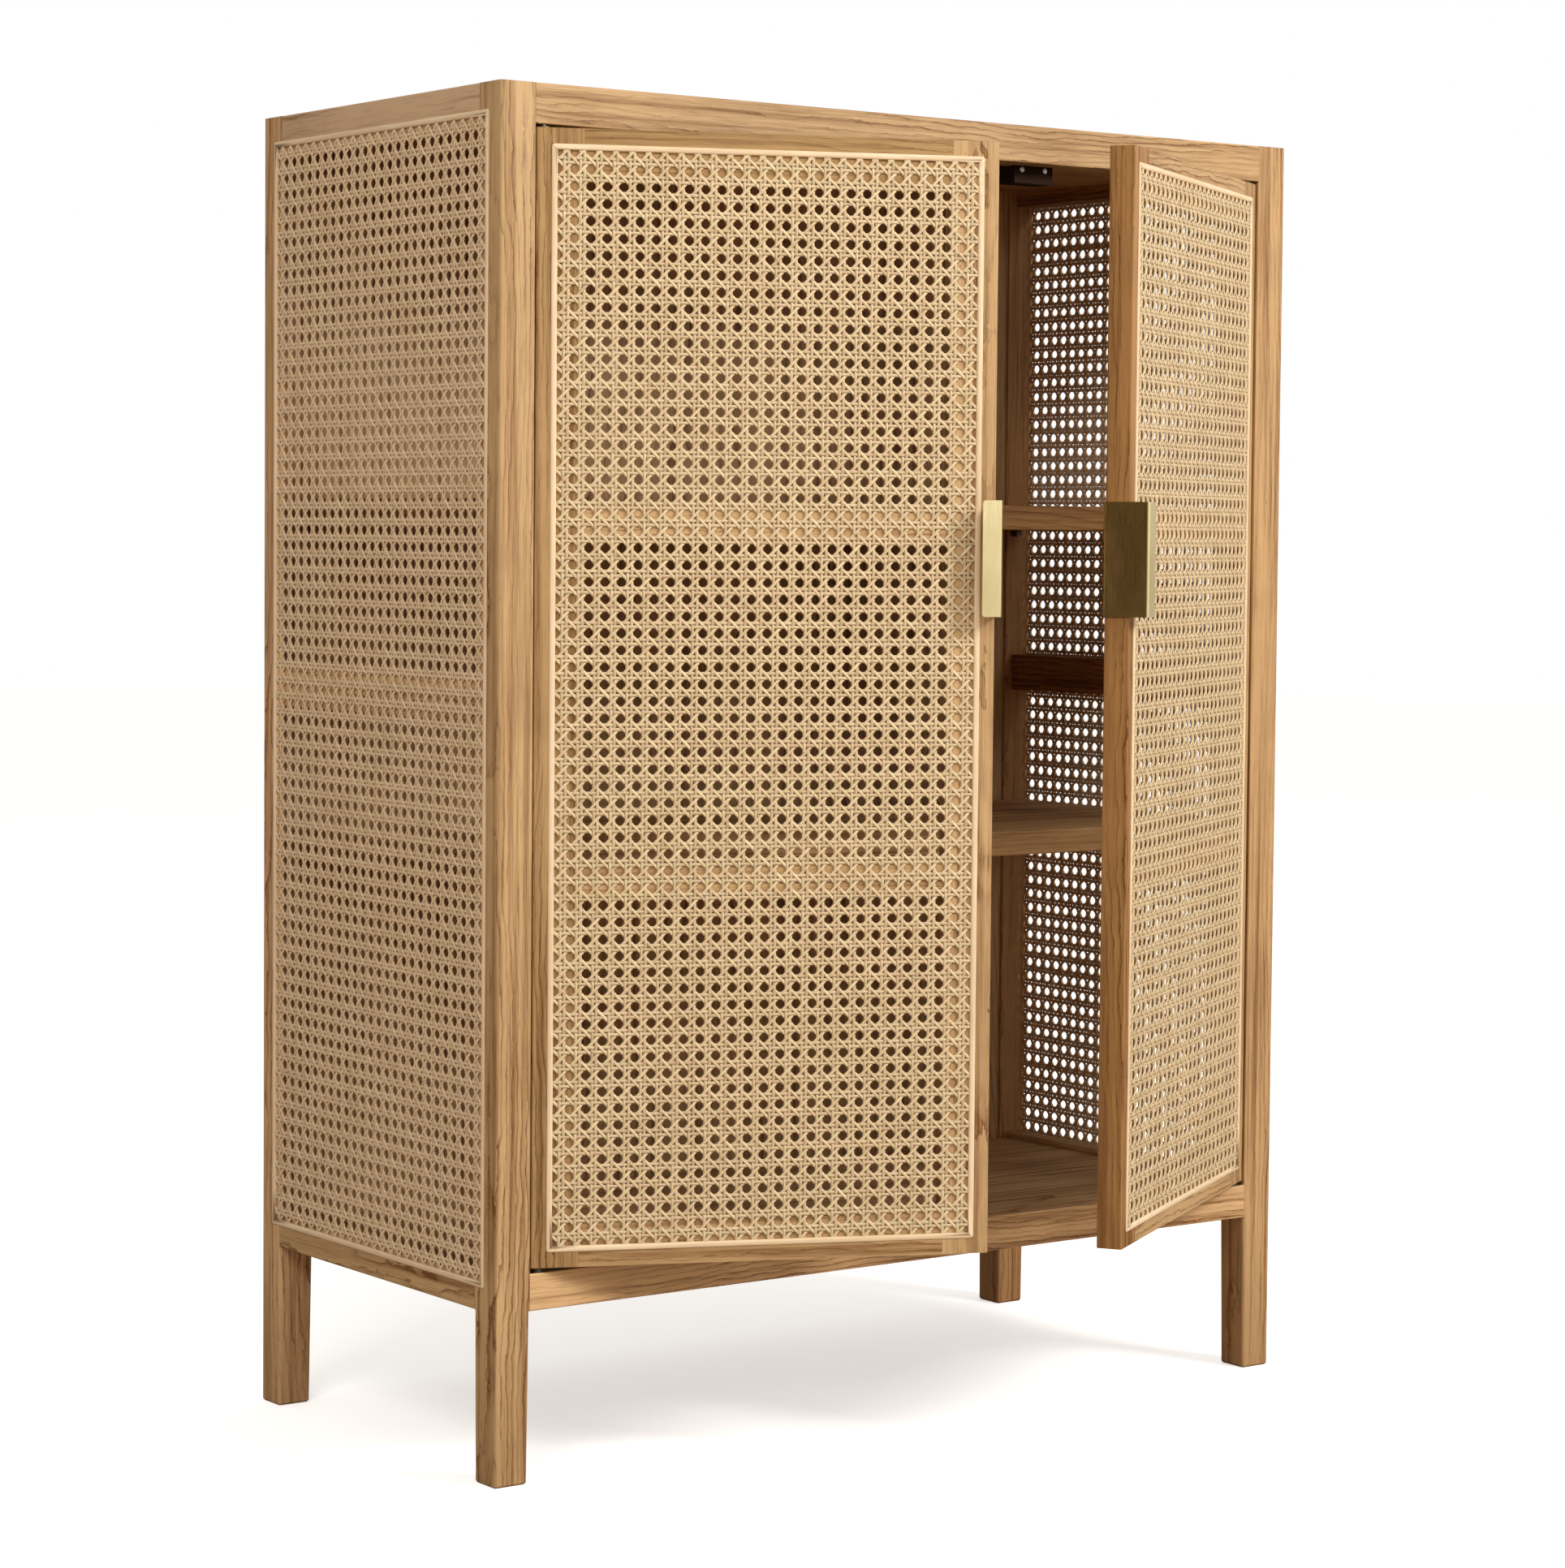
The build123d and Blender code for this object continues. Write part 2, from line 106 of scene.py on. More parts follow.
SLANTING = ("rising", "falling")
CANE_PAINTED_LIGHT_TINTS = {                      # painted light: the sides' cane is a little paler than the doors', making up for the sides getting less light
    "cabinet": (1.10, 1.06, 1.12),
    "left_door": (1.0, 1.0, 1.0),
    "right_door": (1.0, 1.0, 1.0),
}
STRAIGHT_PAINTED_SHADE = 0.92               # painted shade: the upright and level strands are a little darker
# painted highlight: the slanting strands are a little paler
SLANTING_PAINTED_HIGHLIGHT = 1.06
TUCK = 0.0014                       # how far the strands run in under the reed, in metres
END_GAP = 0.05                      # the least room between strands, stops and ends, in pitches
STRAND_DEPTH = 0.7                  # how far a strand lies below the wood's face, in thicknesses
WIDTH_SPREAD = 0.09                 # unevenness of the strands' widths
SHORTEST = 0.3                      # slanting strands shorter than this, in pitches, are left out

REED_SEED = 11
CORNER_STEPS = 6                    # steps round each of the reed's corners
REED_STEP = 0.03                    # spacing of the reed's points along a straight stretch, in metres
REED_SINK = 0.0003                  # how far the reed's edges lie below the wood
REED_ARC = 8                        # steps across the reed's rounded face
REED_FULLNESS = 0.7                 # below 1 its crown is fuller than half round
REED_DEPTH = 2.5                    # depth of the reed's foot, in cane thicknesses
REED_SWELL = 0.03                   # unevenness of its crown

STUD_PLACES = (0.2, 0.8)            # across a catch's nose
STUD_HEIGHT = 0.0108                # above the nose's lower edge, in metres
STUD_RADIUS = 0.0022
STUD_PROUD = 0.0002                 # stays clear of the closed door's strike
STUD_SINK = 0.001
STUD_SIDES = 20

DAYLIGHT = (1.0, 0.98, 0.955)       # colours of the light from all round
WARM = (1.0, 0.90, 0.80)
BROWN = (1.0, 0.52, 0.10)
KEY_PLACE, KEY_SIZE, KEY_TONE = (1.3, -2.6, 2.3), 0.9, (1.0, 0.985, 0.96)
FILL_PLACE, FILL_SIZE, FILL_TONE = (-2.4, -1.8, 2.6), 1.2, (1.0, 0.975, 0.95)
FLOOR_RADIUS = 14.0
FLOOR_SIDES = 64
FLOOR_DROP = 0.0002                 # keeps the floor just clear of the legs
FLOOR_GLOSS = (0.06, 0.045, 0.02)   # share of the floor's bounce that shiny pieces mirror


# ---------------------------------------------------------------- settings

def length(name, description, default):
    """A length property in metres."""
    return FloatProperty(name=name, description=description, default=default, min=0.0,
                         unit="LENGTH", precision=5)


def fraction(name, description, default):
    """A property from 0 to 1."""
    return FloatProperty(name=name, description=description, default=default, min=0.0, max=1.0,
                         subtype="FACTOR")


def colour(name, description, default):
    """A colour property."""
    return FloatVectorProperty(name=name, description=description, default=default, size=3,
                               min=0.0, max=1.0, subtype="COLOR")


class CaneSettings(bpy.types.PropertyGroup):
    """Sizes and colours of the woven cane."""

    door_pitch: length("Door pitch across", "Distance between hole columns on the doors", 0.01236)
    side_pitch: length("Side pitch across", "Distance between hole columns on the sides", 0.0125)
    rise_pitch: length("Pitch upwards", "Distance between hole rows", 0.01268)
    strand: length("Strand width", "Width of the upright and level strands", 0.0027)
    slant_strand: length("Slanting strand width", "Width of the slanting strands", 0.0026)
    thickness: length("Strand thickness", "Thickness of a strand", 0.00085)
    lift: length("Weave lift", "How far a strand rises and dips as it is woven", 0.00042)
    pair: fraction("Pair spread", "Half the distance between a pair's strands, in pitches", 0.125)
    wander: fraction("Wander", "How unevenly strands lie, as a share of the pitch", 0.022)
    seed: IntProperty(name="Seed", description="Seed of the weave's unevenness", default=7)
    pale: colour("Pale cane", "Colour of the palest strands", (0.86, 0.68, 0.42))
    tan: colour("Tan cane", "Colour of the darkest strands", (0.60, 0.43, 0.235))


class ReedSettings(bpy.types.PropertyGroup):
    """Sizes and colours of the reed splines."""

    proud: length("Crown", "How far the reed stands above the wood", 0.0009)
    corner: length("Corner radius", "Radius of the reed's outer corners", 0.002)
    pale: colour("Pale reed", "Colour of the reed", (0.95, 0.75, 0.51))
    shade: colour("Shaded reed", "Colour of the reed's darker fibres", (0.76, 0.56, 0.34))


class OakSettings(bpy.types.PropertyGroup):
    """Colours of the oiled oak."""

    light: colour("Light oak", "Colour between the growth rings", (0.64, 0.412, 0.197))
    dark: colour("Dark oak", "Colour of the growth rings", (0.21, 0.09, 0.024))
    pore: colour("Pores", "Colour of the open pores", (0.13, 0.062, 0.026))
    rings: FloatProperty(name="Growth rings", description="Growth rings in a metre", default=200.0)
    stick_ripple: length("Ripple in sticks", "How far the rings ripple in the posts and rails", 0.011)
    board_ripple: length("Ripple in boards", "How far the rings ripple in the boards and shelves", 0.003)
    board_taper: fraction("Taper", "Slope of the rings along a wide board, which draws arches on it", 0.03)


class BrassSettings(bpy.types.PropertyGroup):
    """Colours of the metal and plastic pieces."""

    brass: colour("Brass", "Colour of the polished brass", (0.86, 0.73, 0.40))
    tarnish: colour("Tarnish", "Colour of the brass where it is handled less", (0.74, 0.58, 0.28))
    # painted shade: the pivot bushes' brass is made near black so it stays dark under the doors
    shaded_brass: colour("Brass darkened as shade", "Colour of the pivot bushes", (0.20, 0.14, 0.07))
    # painted shade: the steel is darker than plated steel, so the pivots under the doors don't mirror the pale
    # floor
    steel: colour("Steel", "Colour of the zinc-plated steel", (0.20, 0.175, 0.145))
    bright: colour("Bright steel", "Colour of the catches' studs", (0.72, 0.68, 0.62))
    plastic: colour("Catch", "Colour of the magnetic catches", (0.030, 0.013, 0.006))


class StageSettings(bpy.types.PropertyGroup):
    """The camera, the floor and the lamps."""

    eye: FloatVectorProperty(name="Camera place", description="From the front left foot to the camera",
                             default=(-1.505, -2.4235, 0.7127), size=3, subtype="TRANSLATION",
                             unit="LENGTH")
    turn: FloatProperty(name="Camera turn", description="Turn about the vertical", unit="ROTATION",
                        default=math.radians(-36.04))
    tilt: FloatProperty(name="Camera tilt", description="Tilt below the horizon", unit="ROTATION",
                        default=math.radians(2.83))
    roll: FloatProperty(name="Camera roll", description="Roll about the view", unit="ROTATION",
                        default=math.radians(0.483))
    lens: FloatProperty(name="Lens", description="Focal length in millimetres", default=88.97)
    shift: FloatProperty(name="Shift", description="Vertical shift of the lens", default=-0.0393)
    floor: colour("Floor", "Colour of the floor", (0.90, 0.895, 0.885))
    glow: FloatProperty(name="Floor glow", description="Brightness added to the floor", default=0.58)
    bounce: colour("Floor bounce", "Colour of the light the floor sends back", (0.50, 0.40, 0.31))
    sky: FloatProperty(name="Sky", description="Strength of the light from all round", default=0.66)
    key: FloatProperty(name="Key lamp", description="Power of the large lamp in watts", default=71.0)
    fill: FloatProperty(name="Fill lamp", description="Power of the fill lamp in watts", default=44.0)


# ---------------------------------------------------------------- places taken from the frame

def shut_turn(body):
    """The turn that brings a door from where it stands to closed. The carcass doesn't turn."""
    for joint in frame["joints"]:
        if joint["child"] == body:
            pivot = Matrix.Translation(Vector(joint["pos_m"]))
            swing = Matrix.Rotation(math.radians(joint["range_deg"][0]), 4, Vector(joint["axis"]))
            return pivot @ swing @ pivot.inverted()
    return Matrix.Identity(4)


def node_corners(node, body):
    """The low and high corners of a node's box with its door closed."""
    shut = shut_turn(body)
    points = np.array([shut @ vertex.co for vertex in frame["nodes"][node].data.vertices])
    return Vector(points.min(0)), Vector(points.max(0))


def door_angle(body):
    """How far a body is turned about the vertical from its closed place, in radians."""
    return -shut_turn(body).to_euler().z


def panel_place(node, body):
    """The matrix from a flat panel's own plane to the cabinet, and its width, height and thickness."""
    low, high = node_corners(node, body)
    size, centre = high - low, (high + low) / 2
    if size.x < size.y:
        outward = Vector((math.copysign(1, centre.x), 0, 0))
        wide, thick = size.y, size.x
    else:
        outward = Vector((0, -1, 0))
        wide, thick = size.x, size.y
    upward = Vector((0, 0, 1))
    basis = Matrix((upward.cross(outward), upward, outward)).transposed().to_4x4()
    basis.translation = centre + outward * thick / 2
    return shut_turn(body).inverted() @ basis, wide, size.z, thick


def add_piece(name, mesh, place, body, replaced=()):
    """Puts a mesh in the scene at its place, as a piece that rides on a body."""
    piece = bpy.data.objects.new(name, mesh)
    bpy.context.scene.collection.objects.link(piece)
    piece.matrix_world = place
    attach(piece, body)
    if replaced:
        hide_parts(*replaced)


def tinted(shade, tint):
    """A colour multiplied by a tint, channel by channel."""
    return [value * part for value, part in zip(shade, tint)]


# ---------------------------------------------------------------- shader nodes

class Tree:
    """A short way to add and link the nodes of a material or a node group."""

    def __init__(self, tree):
        self.tree = tree

    def node(self, kind, values=None, links=None, **settings):
        """Adds a node, sets its properties and input values, and links its inputs."""
        made = self.tree.nodes.new(kind)
        for key, value in settings.items():
            setattr(made, key, value)
        for key, value in (values or {}).items():
            made.inputs[key].default_value = value
        for key, source in (links or {}).items():
            self.tree.links.new(source, made.inputs[key])
        return made

    def math(self, operation, first, second=None, clamp=False):
        """A Math node's output. Each input is a number or a socket."""
        made = self.tree.nodes.new("ShaderNodeMath")
        made.operation = operation
        made.use_clamp = clamp
        for socket, value in zip(made.inputs, (first, second)):
            if isinstance(value, bpy.types.NodeSocket):
                self.tree.links.new(value, socket)
            elif value is not None:
                socket.default_value = value
        return made.outputs[0]

    def total(self, start, *terms, clamp=False):
        """A number or a socket, plus each term's value times its weight."""
        for index, (value, weight) in enumerate(terms):
            last = index == len(terms) - 1
            start = self.math("ADD", self.math("MULTIPLY", value, weight), start, clamp=clamp and last)
        return start

    def scaled(self, vector, scale):
        """A vector multiplied axis by axis."""
        made = self.node("ShaderNodeVectorMath", {1: scale}, {0: vector}, operation="MULTIPLY")
        return made.outputs[0]

    def noise(self, vector, scale, detail=2.0, roughness=0.5):
        """A Noise Texture's value on a vector scaled axis by axis."""
        values = {"Scale": 1.0, "Detail": detail, "Roughness": roughness, "Distortion": 0.0}
        scaled = self.scaled(vector, scale)
        return self.node("ShaderNodeTexNoise", values, {"Vector": scaled}).outputs["Fac"]

    def spread(self, value, low, high, out_low=0.0, out_high=1.0):
        """A value remapped from one range to another, smoothly and clamped."""
        values = {"From Min": low, "From Max": high, "To Min": out_low, "To Max": out_high}
        return self.node("ShaderNodeMapRange", values, {"Value": value},
                         interpolation_type="SMOOTHSTEP").outputs["Result"]

    def mix(self, factor, first, second):
        """A colour mix. Each input is a colour, a number or a socket."""
        made = self.tree.nodes.new("ShaderNodeMix")
        made.data_type = "RGBA"
        for key, value in ((0, factor), (6, first), (7, second)):
            if isinstance(value, bpy.types.NodeSocket):
                self.tree.links.new(value, made.inputs[key])
            elif key == 0:
                made.inputs[key].default_value = value
            else:
                made.inputs[key].default_value = (*value, 1.0) if len(value) == 3 else value
        return made.outputs[2]

    def parts(self, vector):
        """The three components of a vector."""
        return self.node("ShaderNodeSeparateXYZ", None, {0: vector}).outputs

    def vector(self, x, y, z):
        """A vector of three numbers or sockets."""
        made = self.tree.nodes.new("ShaderNodeCombineXYZ")
        for socket, value in zip(made.inputs, (x, y, z)):
            if isinstance(value, bpy.types.NodeSocket):
                self.tree.links.new(value, socket)
            else:
                socket.default_value = value
        return made.outputs[0]


def new_group(name, inputs, outputs):
    """An empty shader node group with named sockets, and its input and output nodes."""
    group = bpy.data.node_groups.new(name, "ShaderNodeTree")
    for socket_name, kind, default in inputs:
        socket = group.interface.new_socket(socket_name, in_out="INPUT", socket_type=kind)
        if default is not None:
            socket.default_value = default
    for socket_name, kind in outputs:
        group.interface.new_socket(socket_name, in_out="OUTPUT", socket_type=kind)
    return Tree(group), group.nodes.new("NodeGroupInput").outputs, group.nodes.new("NodeGroupOutput").inputs


def oak_group():
    """Oak figure: growth rings, dark and pale streaks, fibres and pores, with the grain along X."""
    name = "Oak figure"
    if name in bpy.data.node_groups:
        return bpy.data.node_groups[name]
    inputs = (
        ("Grain Vector", "NodeSocketVector", None),
        ("Light", "NodeSocketColor", (0.5, 0.3, 0.15, 1.0)),
        ("Dark", "NodeSocketColor", (0.28, 0.15, 0.06, 1.0)),
        ("Pore", "NodeSocketColor", (0.12, 0.06, 0.03, 1.0)),
        ("Rings", "NodeSocketFloat", 260.0),
        ("Ripple", "NodeSocketFloat", 0.011),
        ("Taper", "NodeSocketFloat", 0.0),
    )
    outputs = (
        ("Color", "NodeSocketColor"),
        ("Roughness", "NodeSocketFloat"),
        ("Height", "NodeSocketFloat"),
    )
    tree, given, result = new_group(name, inputs, outputs)
    grain = given["Grain Vector"]
    along, across, deep = tree.parts(grain)
    bend = tree.noise(grain, (1.6, 9.0, 9.0), detail=2.0)
    ripple = tree.noise(grain, (20.0, 62.0, 62.0), detail=4.0, roughness=0.6)
    radius = tree.math("SQRT", tree.math("ADD", tree.math("MULTIPLY", across, across),
                                         tree.math("MULTIPLY", deep, deep)))
    bent = tree.total(radius, (bend, 0.060), (ripple, given["Ripple"]), (along, given["Taper"]))
    phase = tree.math("FRACT", tree.math("MULTIPLY", bent, given["Rings"]))
    ring = tree.math("POWER", phase, 4.5)
    fade = tree.spread(tree.noise(grain, (2.0, 30.0, 30.0)), 0.35, 0.65, 0.2, 1.0)
    ring = tree.math("MULTIPLY", ring, fade)
    streak = tree.noise(grain, (2.6, 150.0, 150.0), detail=5.0, roughness=0.62)
    pale = tree.noise(grain, (1.7, 95.0, 95.0), detail=4.0, roughness=0.6)
    fibre = tree.noise(grain, (26.0, 1300.0, 1300.0), detail=2.0)
    broad = tree.noise(grain, (0.9, 14.0, 14.0), detail=2.0)
    tone = tree.math("ADD", tree.math("MULTIPLY", ring, 0.95), tree.spread(streak, 0.42, 0.70, 0.10, 0.66))
    tone = tree.math("ADD", tone, tree.spread(broad, 0.3, 0.7, -0.22, 0.22))
    tone = tree.math("SUBTRACT", tone, tree.spread(pale, 0.50, 0.66, 0.0, 0.42))
    tone = tree.math("ADD", tone, tree.spread(fibre, 0.3, 0.7, -0.12, 0.12), clamp=True)
    pore = tree.noise(grain, (34.0, 1500.0, 1500.0), detail=1.0)
    pore = tree.math("MULTIPLY", tree.spread(pore, 0.60, 0.68), tree.spread(ring, 0.1, 0.7, 0.35, 0.95))
    base = tree.mix(tone, given["Light"], given["Dark"])
    stained = tree.mix(tree.math("MULTIPLY", pore, 0.75), base, given["Pore"])
    tree.tree.links.new(stained, result["Color"])
    rough = tree.math("ADD", tree.spread(streak, 0.3, 0.7, 0.46, 0.58), tree.math("MULTIPLY", pore, 0.2))
    tree.tree.links.new(rough, result["Roughness"])
    height = tree.total(0.0, (fibre, 0.35), (pore, -1.0), (ring, -0.25))
    tree.tree.links.new(height, result["Height"])
    return tree.tree


def wear_group():
    """Faint handling smudges, and a darkening towards the bottom of the cabinet."""
    name = "Handling"
    if name in bpy.data.node_groups:
        return bpy.data.node_groups[name]
    inputs = (
        ("Position", "NodeSocketVector", None),
        ("Color", "NodeSocketColor", (0.5, 0.5, 0.5, 1.0)),
        ("Darkening", "NodeSocketColor", (0.2, 0.12, 0.06, 1.0)),
        ("Amount", "NodeSocketFloat", 0.25),
    )
    tree, given, result = new_group(name, inputs, (("Color", "NodeSocketColor"),))
    height = tree.parts(given["Position"])[2]
    # darker towards the bottom, in the lowest 16 cm
    low = tree.spread(height, 0.0, 0.16, 1.0, 0.0)
    blotch = tree.spread(tree.noise(given["Position"], (11.0, 11.0, 11.0), detail=4.0), 0.42, 0.72)
    mask = tree.math("MAXIMUM", tree.math("MULTIPLY", blotch, 0.6), tree.math("MULTIPLY", low, 0.8))
    mask = tree.math("MULTIPLY", mask, given["Amount"], clamp=True)
    tree.tree.links.new(tree.mix(mask, given["Color"], given["Darkening"]), result["Color"])
    return tree.tree


def new_material(name, roughness, metallic=0.0, specular=0.5):
    """A material with a Principled shader, and its tree and shader."""
    material = bpy.data.materials.new(name)
    material.use_nodes = True
    material.node_tree.nodes.clear()
    tree = Tree(material.node_tree)
    shader = tree.node("ShaderNodeBsdfPrincipled", {"Roughness": roughness, "Metallic": metallic,
                                                    "Specular IOR Level": specular})
    tree.node("ShaderNodeOutputMaterial", None, {"Surface": shader.outputs["BSDF"]})
    return material, tree, shader


def add_bump(tree, shader, height, strength, distance):
    """Links a height to the shader's normal through a Bump node."""
    bump = tree.node("ShaderNodeBump", {"Strength": strength, "Distance": distance}, {"Height": height})
    tree.tree.links.new(bump.outputs["Normal"], shader.inputs["Normal"])


# ---------------------------------------------------------------- oak

def grain_turn(size, turn):
    """The turn that lays a piece's longest side along the grain's X, for a piece turned about Z."""
    longest = max(range(3), key=lambda axis: size[axis])
    lay = (Matrix.Identity(3), Matrix.Rotation(-math.pi / 2, 3, "Z"), Matrix.Rotation(math.pi / 2, 3, "Y"))
    return lay[longest] @ Matrix.Rotation(-turn, 3, "Z")


def oak_material(name, settings, lay, heart, tint, wide):
    """Oiled oak whose grain runs the way a piece was cut, at its own place in the log."""
    material, tree, shader = new_material(name, 0.5, specular=0.32)
    place = tree.node("ShaderNodeTexCoord").outputs["Object"]
    turned = tree.node("ShaderNodeMapping", {"Rotation": lay.to_euler(), "Location": heart},
                       {"Vector": place}).outputs["Vector"]
    light, dark = tinted(settings.light, tint), tinted(settings.dark, tint)
    oak = tree.node("ShaderNodeGroup", None, None, node_tree=oak_group())
    oak.inputs["Light"].default_value = (*light, 1.0)
    oak.inputs["Dark"].default_value = (*dark, 1.0)
    oak.inputs["Pore"].default_value = (*settings.pore, 1.0)
    oak.inputs["Rings"].default_value = settings.rings
    oak.inputs["Ripple"].default_value = settings.board_ripple if wide else settings.stick_ripple
    oak.inputs["Taper"].default_value = settings.board_taper if wide else 0.0
    tree.tree.links.new(turned, oak.inputs["Grain Vector"])
    wear = tree.node("ShaderNodeGroup", None, None, node_tree=wear_group())
    wear.inputs["Amount"].default_value = OAK_WEAR
    wear.inputs["Darkening"].default_value = (*dark, 1.0)
    tree.tree.links.new(place, wear.inputs["Position"])
    tree.tree.links.new(oak.outputs["Color"], wear.inputs["Color"])
    tree.tree.links.new(wear.outputs["Color"], shader.inputs["Base Color"])
    tree.tree.links.new(oak.outputs["Roughness"], shader.inputs["Roughness"])
    add_bump(tree, shader, oak.outputs["Height"], 0.35, 0.0004)
    return material


def set_material(piece, material):
    """Gives a piece one material in all its slots."""
    if not piece.material_slots:
        piece.data.materials.append(material)
    for slot in piece.material_slots:
        slot.link = "OBJECT"
        slot.material = material


class CABINET_OT_finish_oak(bpy.types.Operator):
    """Give every oak piece its own cut of oiled oak, with the grain along the piece"""

    bl_idname = "cabinet.finish_oak"
    bl_label = "Finish the oak"

    def execute(self, context):
        settings = context.scene.cabinet_oak
        draw = random.Random(OAK_SEED)
        slots = {part["node"]: part["material_slot"] for part in frame["record"]["subparts"]}
        bodies = frame["record"]["behaviour"]["bodies"]
        owner = {node: body for body, nodes in bodies.items() for node in nodes}
        oak_nodes = sorted(node for node, slot in slots.items() if slot == "oak")
        if not oak_nodes:
            raise RuntimeError("the record names no oak piece")
        for node in oak_nodes:
            low, high = node_corners(node, owner[node])
            lay = grain_turn(high - low, door_angle(owner[node]))
            heart = [draw.uniform(*reach) for reach in LOG_PLACES]
            tint = draw.uniform(*OAK_TINTS)
            # the piece's random tone times its painted light or shade tint
            tone = [tint * value for value in PAINTED_LIGHT_AND_SHADE_TINTS.get(node, (1.0, 1.0, 1.0))]
            wide = node.endswith(("board", "shelf"))
            material = oak_material("Oak " + node, settings, lay, heart, tone, wide)
            set_material(frame["nodes"][node], material)
        return {"FINISHED"}


# ---------------------------------------------------------------- cane

# a strand's section: across it in widths, and up in thicknesses
PROFILE = np.array(((-0.5, 0.0), (-0.28, 0.8), (0.28, 0.8), (0.5, 0.0), (0.0, -0.25)))


def strand_mesh(name, strands, thickness):
    """One mesh of closed flat strands. Each strand is its points, sideways direction, width and tint."""
    vertices, faces, runs = [], [], []
    count = len(PROFILE)
    start = 0
    for points, sideways, width, tint in strands:
        ring = (points[:, None, :] + PROFILE[None, :, :1] * width * sideways[None, None, :]
                + PROFILE[None, :, 1:] * thickness * np.array((0.0, 0.0, 1.0)))
        vertices.append(ring.reshape(-1, 3))
        steps = np.linalg.norm(np.diff(points, axis=0), axis=1)
        along = np.concatenate(((0.0,), np.cumsum(steps)))
        run = np.empty((len(points), count, 3))
        run[:, :, 0] = along[:, None]
        run[:, :, 1] = PROFILE[None, :, 0]
        run[:, :, 2] = tint
        runs.append(run.reshape(-1, 3))
        first = start + count * np.arange(len(points) - 1)[:, None]
        here = first + np.arange(count)
        beside = first + (np.arange(count) + 1) % count
        quads = np.stack((here, beside, beside + count, here + count), axis=-1)
        faces.extend(quads.reshape(-1, 4).tolist())
        faces.append([start + k for k in reversed(range(count))])
        last = start + count * (len(points) - 1)
        faces.append([last + k for k in range(count)])
        start += count * len(points)
    mesh = bpy.data.meshes.new(name)
    mesh.from_pydata(np.concatenate(vertices).tolist(), [], faces)
    runs = np.concatenate(runs).astype(np.float32)
    mesh.attributes.new("run", "FLOAT_VECTOR", "POINT").data.foreach_set("vector", runs.ravel())
    mesh.polygons.foreach_set("use_smooth", [True] * len(mesh.polygons))
    mesh.update()
    return mesh


class Weave:
    """Six-way cane in lattice units: pairs of upright and level strands, and slanting strands between."""

    def __init__(self, settings, wide, high, pitch, phase, draw):
        self.settings = settings
        self.draw = draw
        self.pitch = np.array((pitch, settings.rise_pitch))
        self.half = np.array((wide, high)) / 2 / self.pitch
        self.shift = np.array((0.5 + phase, 0.5))       # from a hole's centre to the nearest pair
        self.low = -self.half - self.shift
        self.high = self.half - self.shift
        self.spread = settings.pair

    def strand(self, line, stops, width):
        """One strand's points. line gives (x, y) at a stop, and stops are (stop, over or under)."""
        wander = self.draw.uniform(-1, 1) * self.settings.wander
        tint = self.draw.random()
        points = []
        for stop, over in stops:
            x, y = line(stop, wander)
            lift = self.settings.lift * (over - 1) - self.settings.thickness * STRAND_DEPTH
            points.append(((x + self.shift[0]) * self.pitch[0], (y + self.shift[1]) * self.pitch[1], lift))
        points = np.array(points)
        travel = points[-1] - points[0]
        travel[2] = 0
        travel /= np.linalg.norm(travel)
        sideways = np.cross(travel, (0.0, 0.0, 1.0))
        width = width * (1 + WIDTH_SPREAD * self.draw.uniform(-1, 1))
        return points, sideways, width, tint

    def stops(self, low, high, pattern):
        """The stops between two ends. pattern lists (place in a pitch, over or under)."""
        inner = []
        for cell in range(math.floor(low) - 1, math.ceil(high) + 2):
            for place, over in pattern:
                if low + END_GAP < cell + place < high - END_GAP:
                    inner.append((cell + place, over))
        return [(low, 0.0), *inner, (high, 0.0)]

    def straight(self, axis):
        """The strands of all upright pairs (axis 0) or level pairs (axis 1)."""
        a = self.spread
        found = []
        for line in range(math.ceil(self.low[axis] - a), math.floor(self.high[axis] + a) + 1):
            for side in (-1, 1):
                place = line + side * a
                if not self.low[axis] + END_GAP < place < self.high[axis] - END_GAP:
                    continue
                sign = -side if axis == 0 else side
                pattern = ((-a, sign), (a, -sign), (0.5 - a, -sign), (0.5 + a, sign))
                other = 1 - axis
                stops = self.stops(self.low[other], self.high[other], pattern)
                if axis == 0:
                    route = lambda stop, wander, place=place: (place + wander, stop)
                else:
                    route = lambda stop, wander, place=place: (stop, place + wander)
                found.append(self.strand(route, stops, self.settings.strand))
        return found

    def slanting(self, rise):
        """The strands that rise (1) or fall (-1) to the right."""
        a = self.spread
        pattern = ((-a, rise), (a, rise), (0.5 - a, -rise), (0.5 + a, -rise))
        corners = [y - rise * x for x in (self.low[0], self.high[0]) for y in (self.low[1], self.high[1])]
        found = []
        for line in range(math.floor(min(corners)), math.ceil(max(corners)) + 1):
            start = line + 0.5
            ends = sorted(((self.low[1] - start) * rise, (self.high[1] - start) * rise))
            low, high = max(self.low[0], ends[0]), min(self.high[0], ends[1])
            if high - low < SHORTEST:
                continue
            route = lambda stop, wander, start=start: (stop, start + rise * stop + wander)
            stops = self.stops(low, high, pattern)
            found.append(self.strand(route, stops, self.settings.slant_strand))
        return found


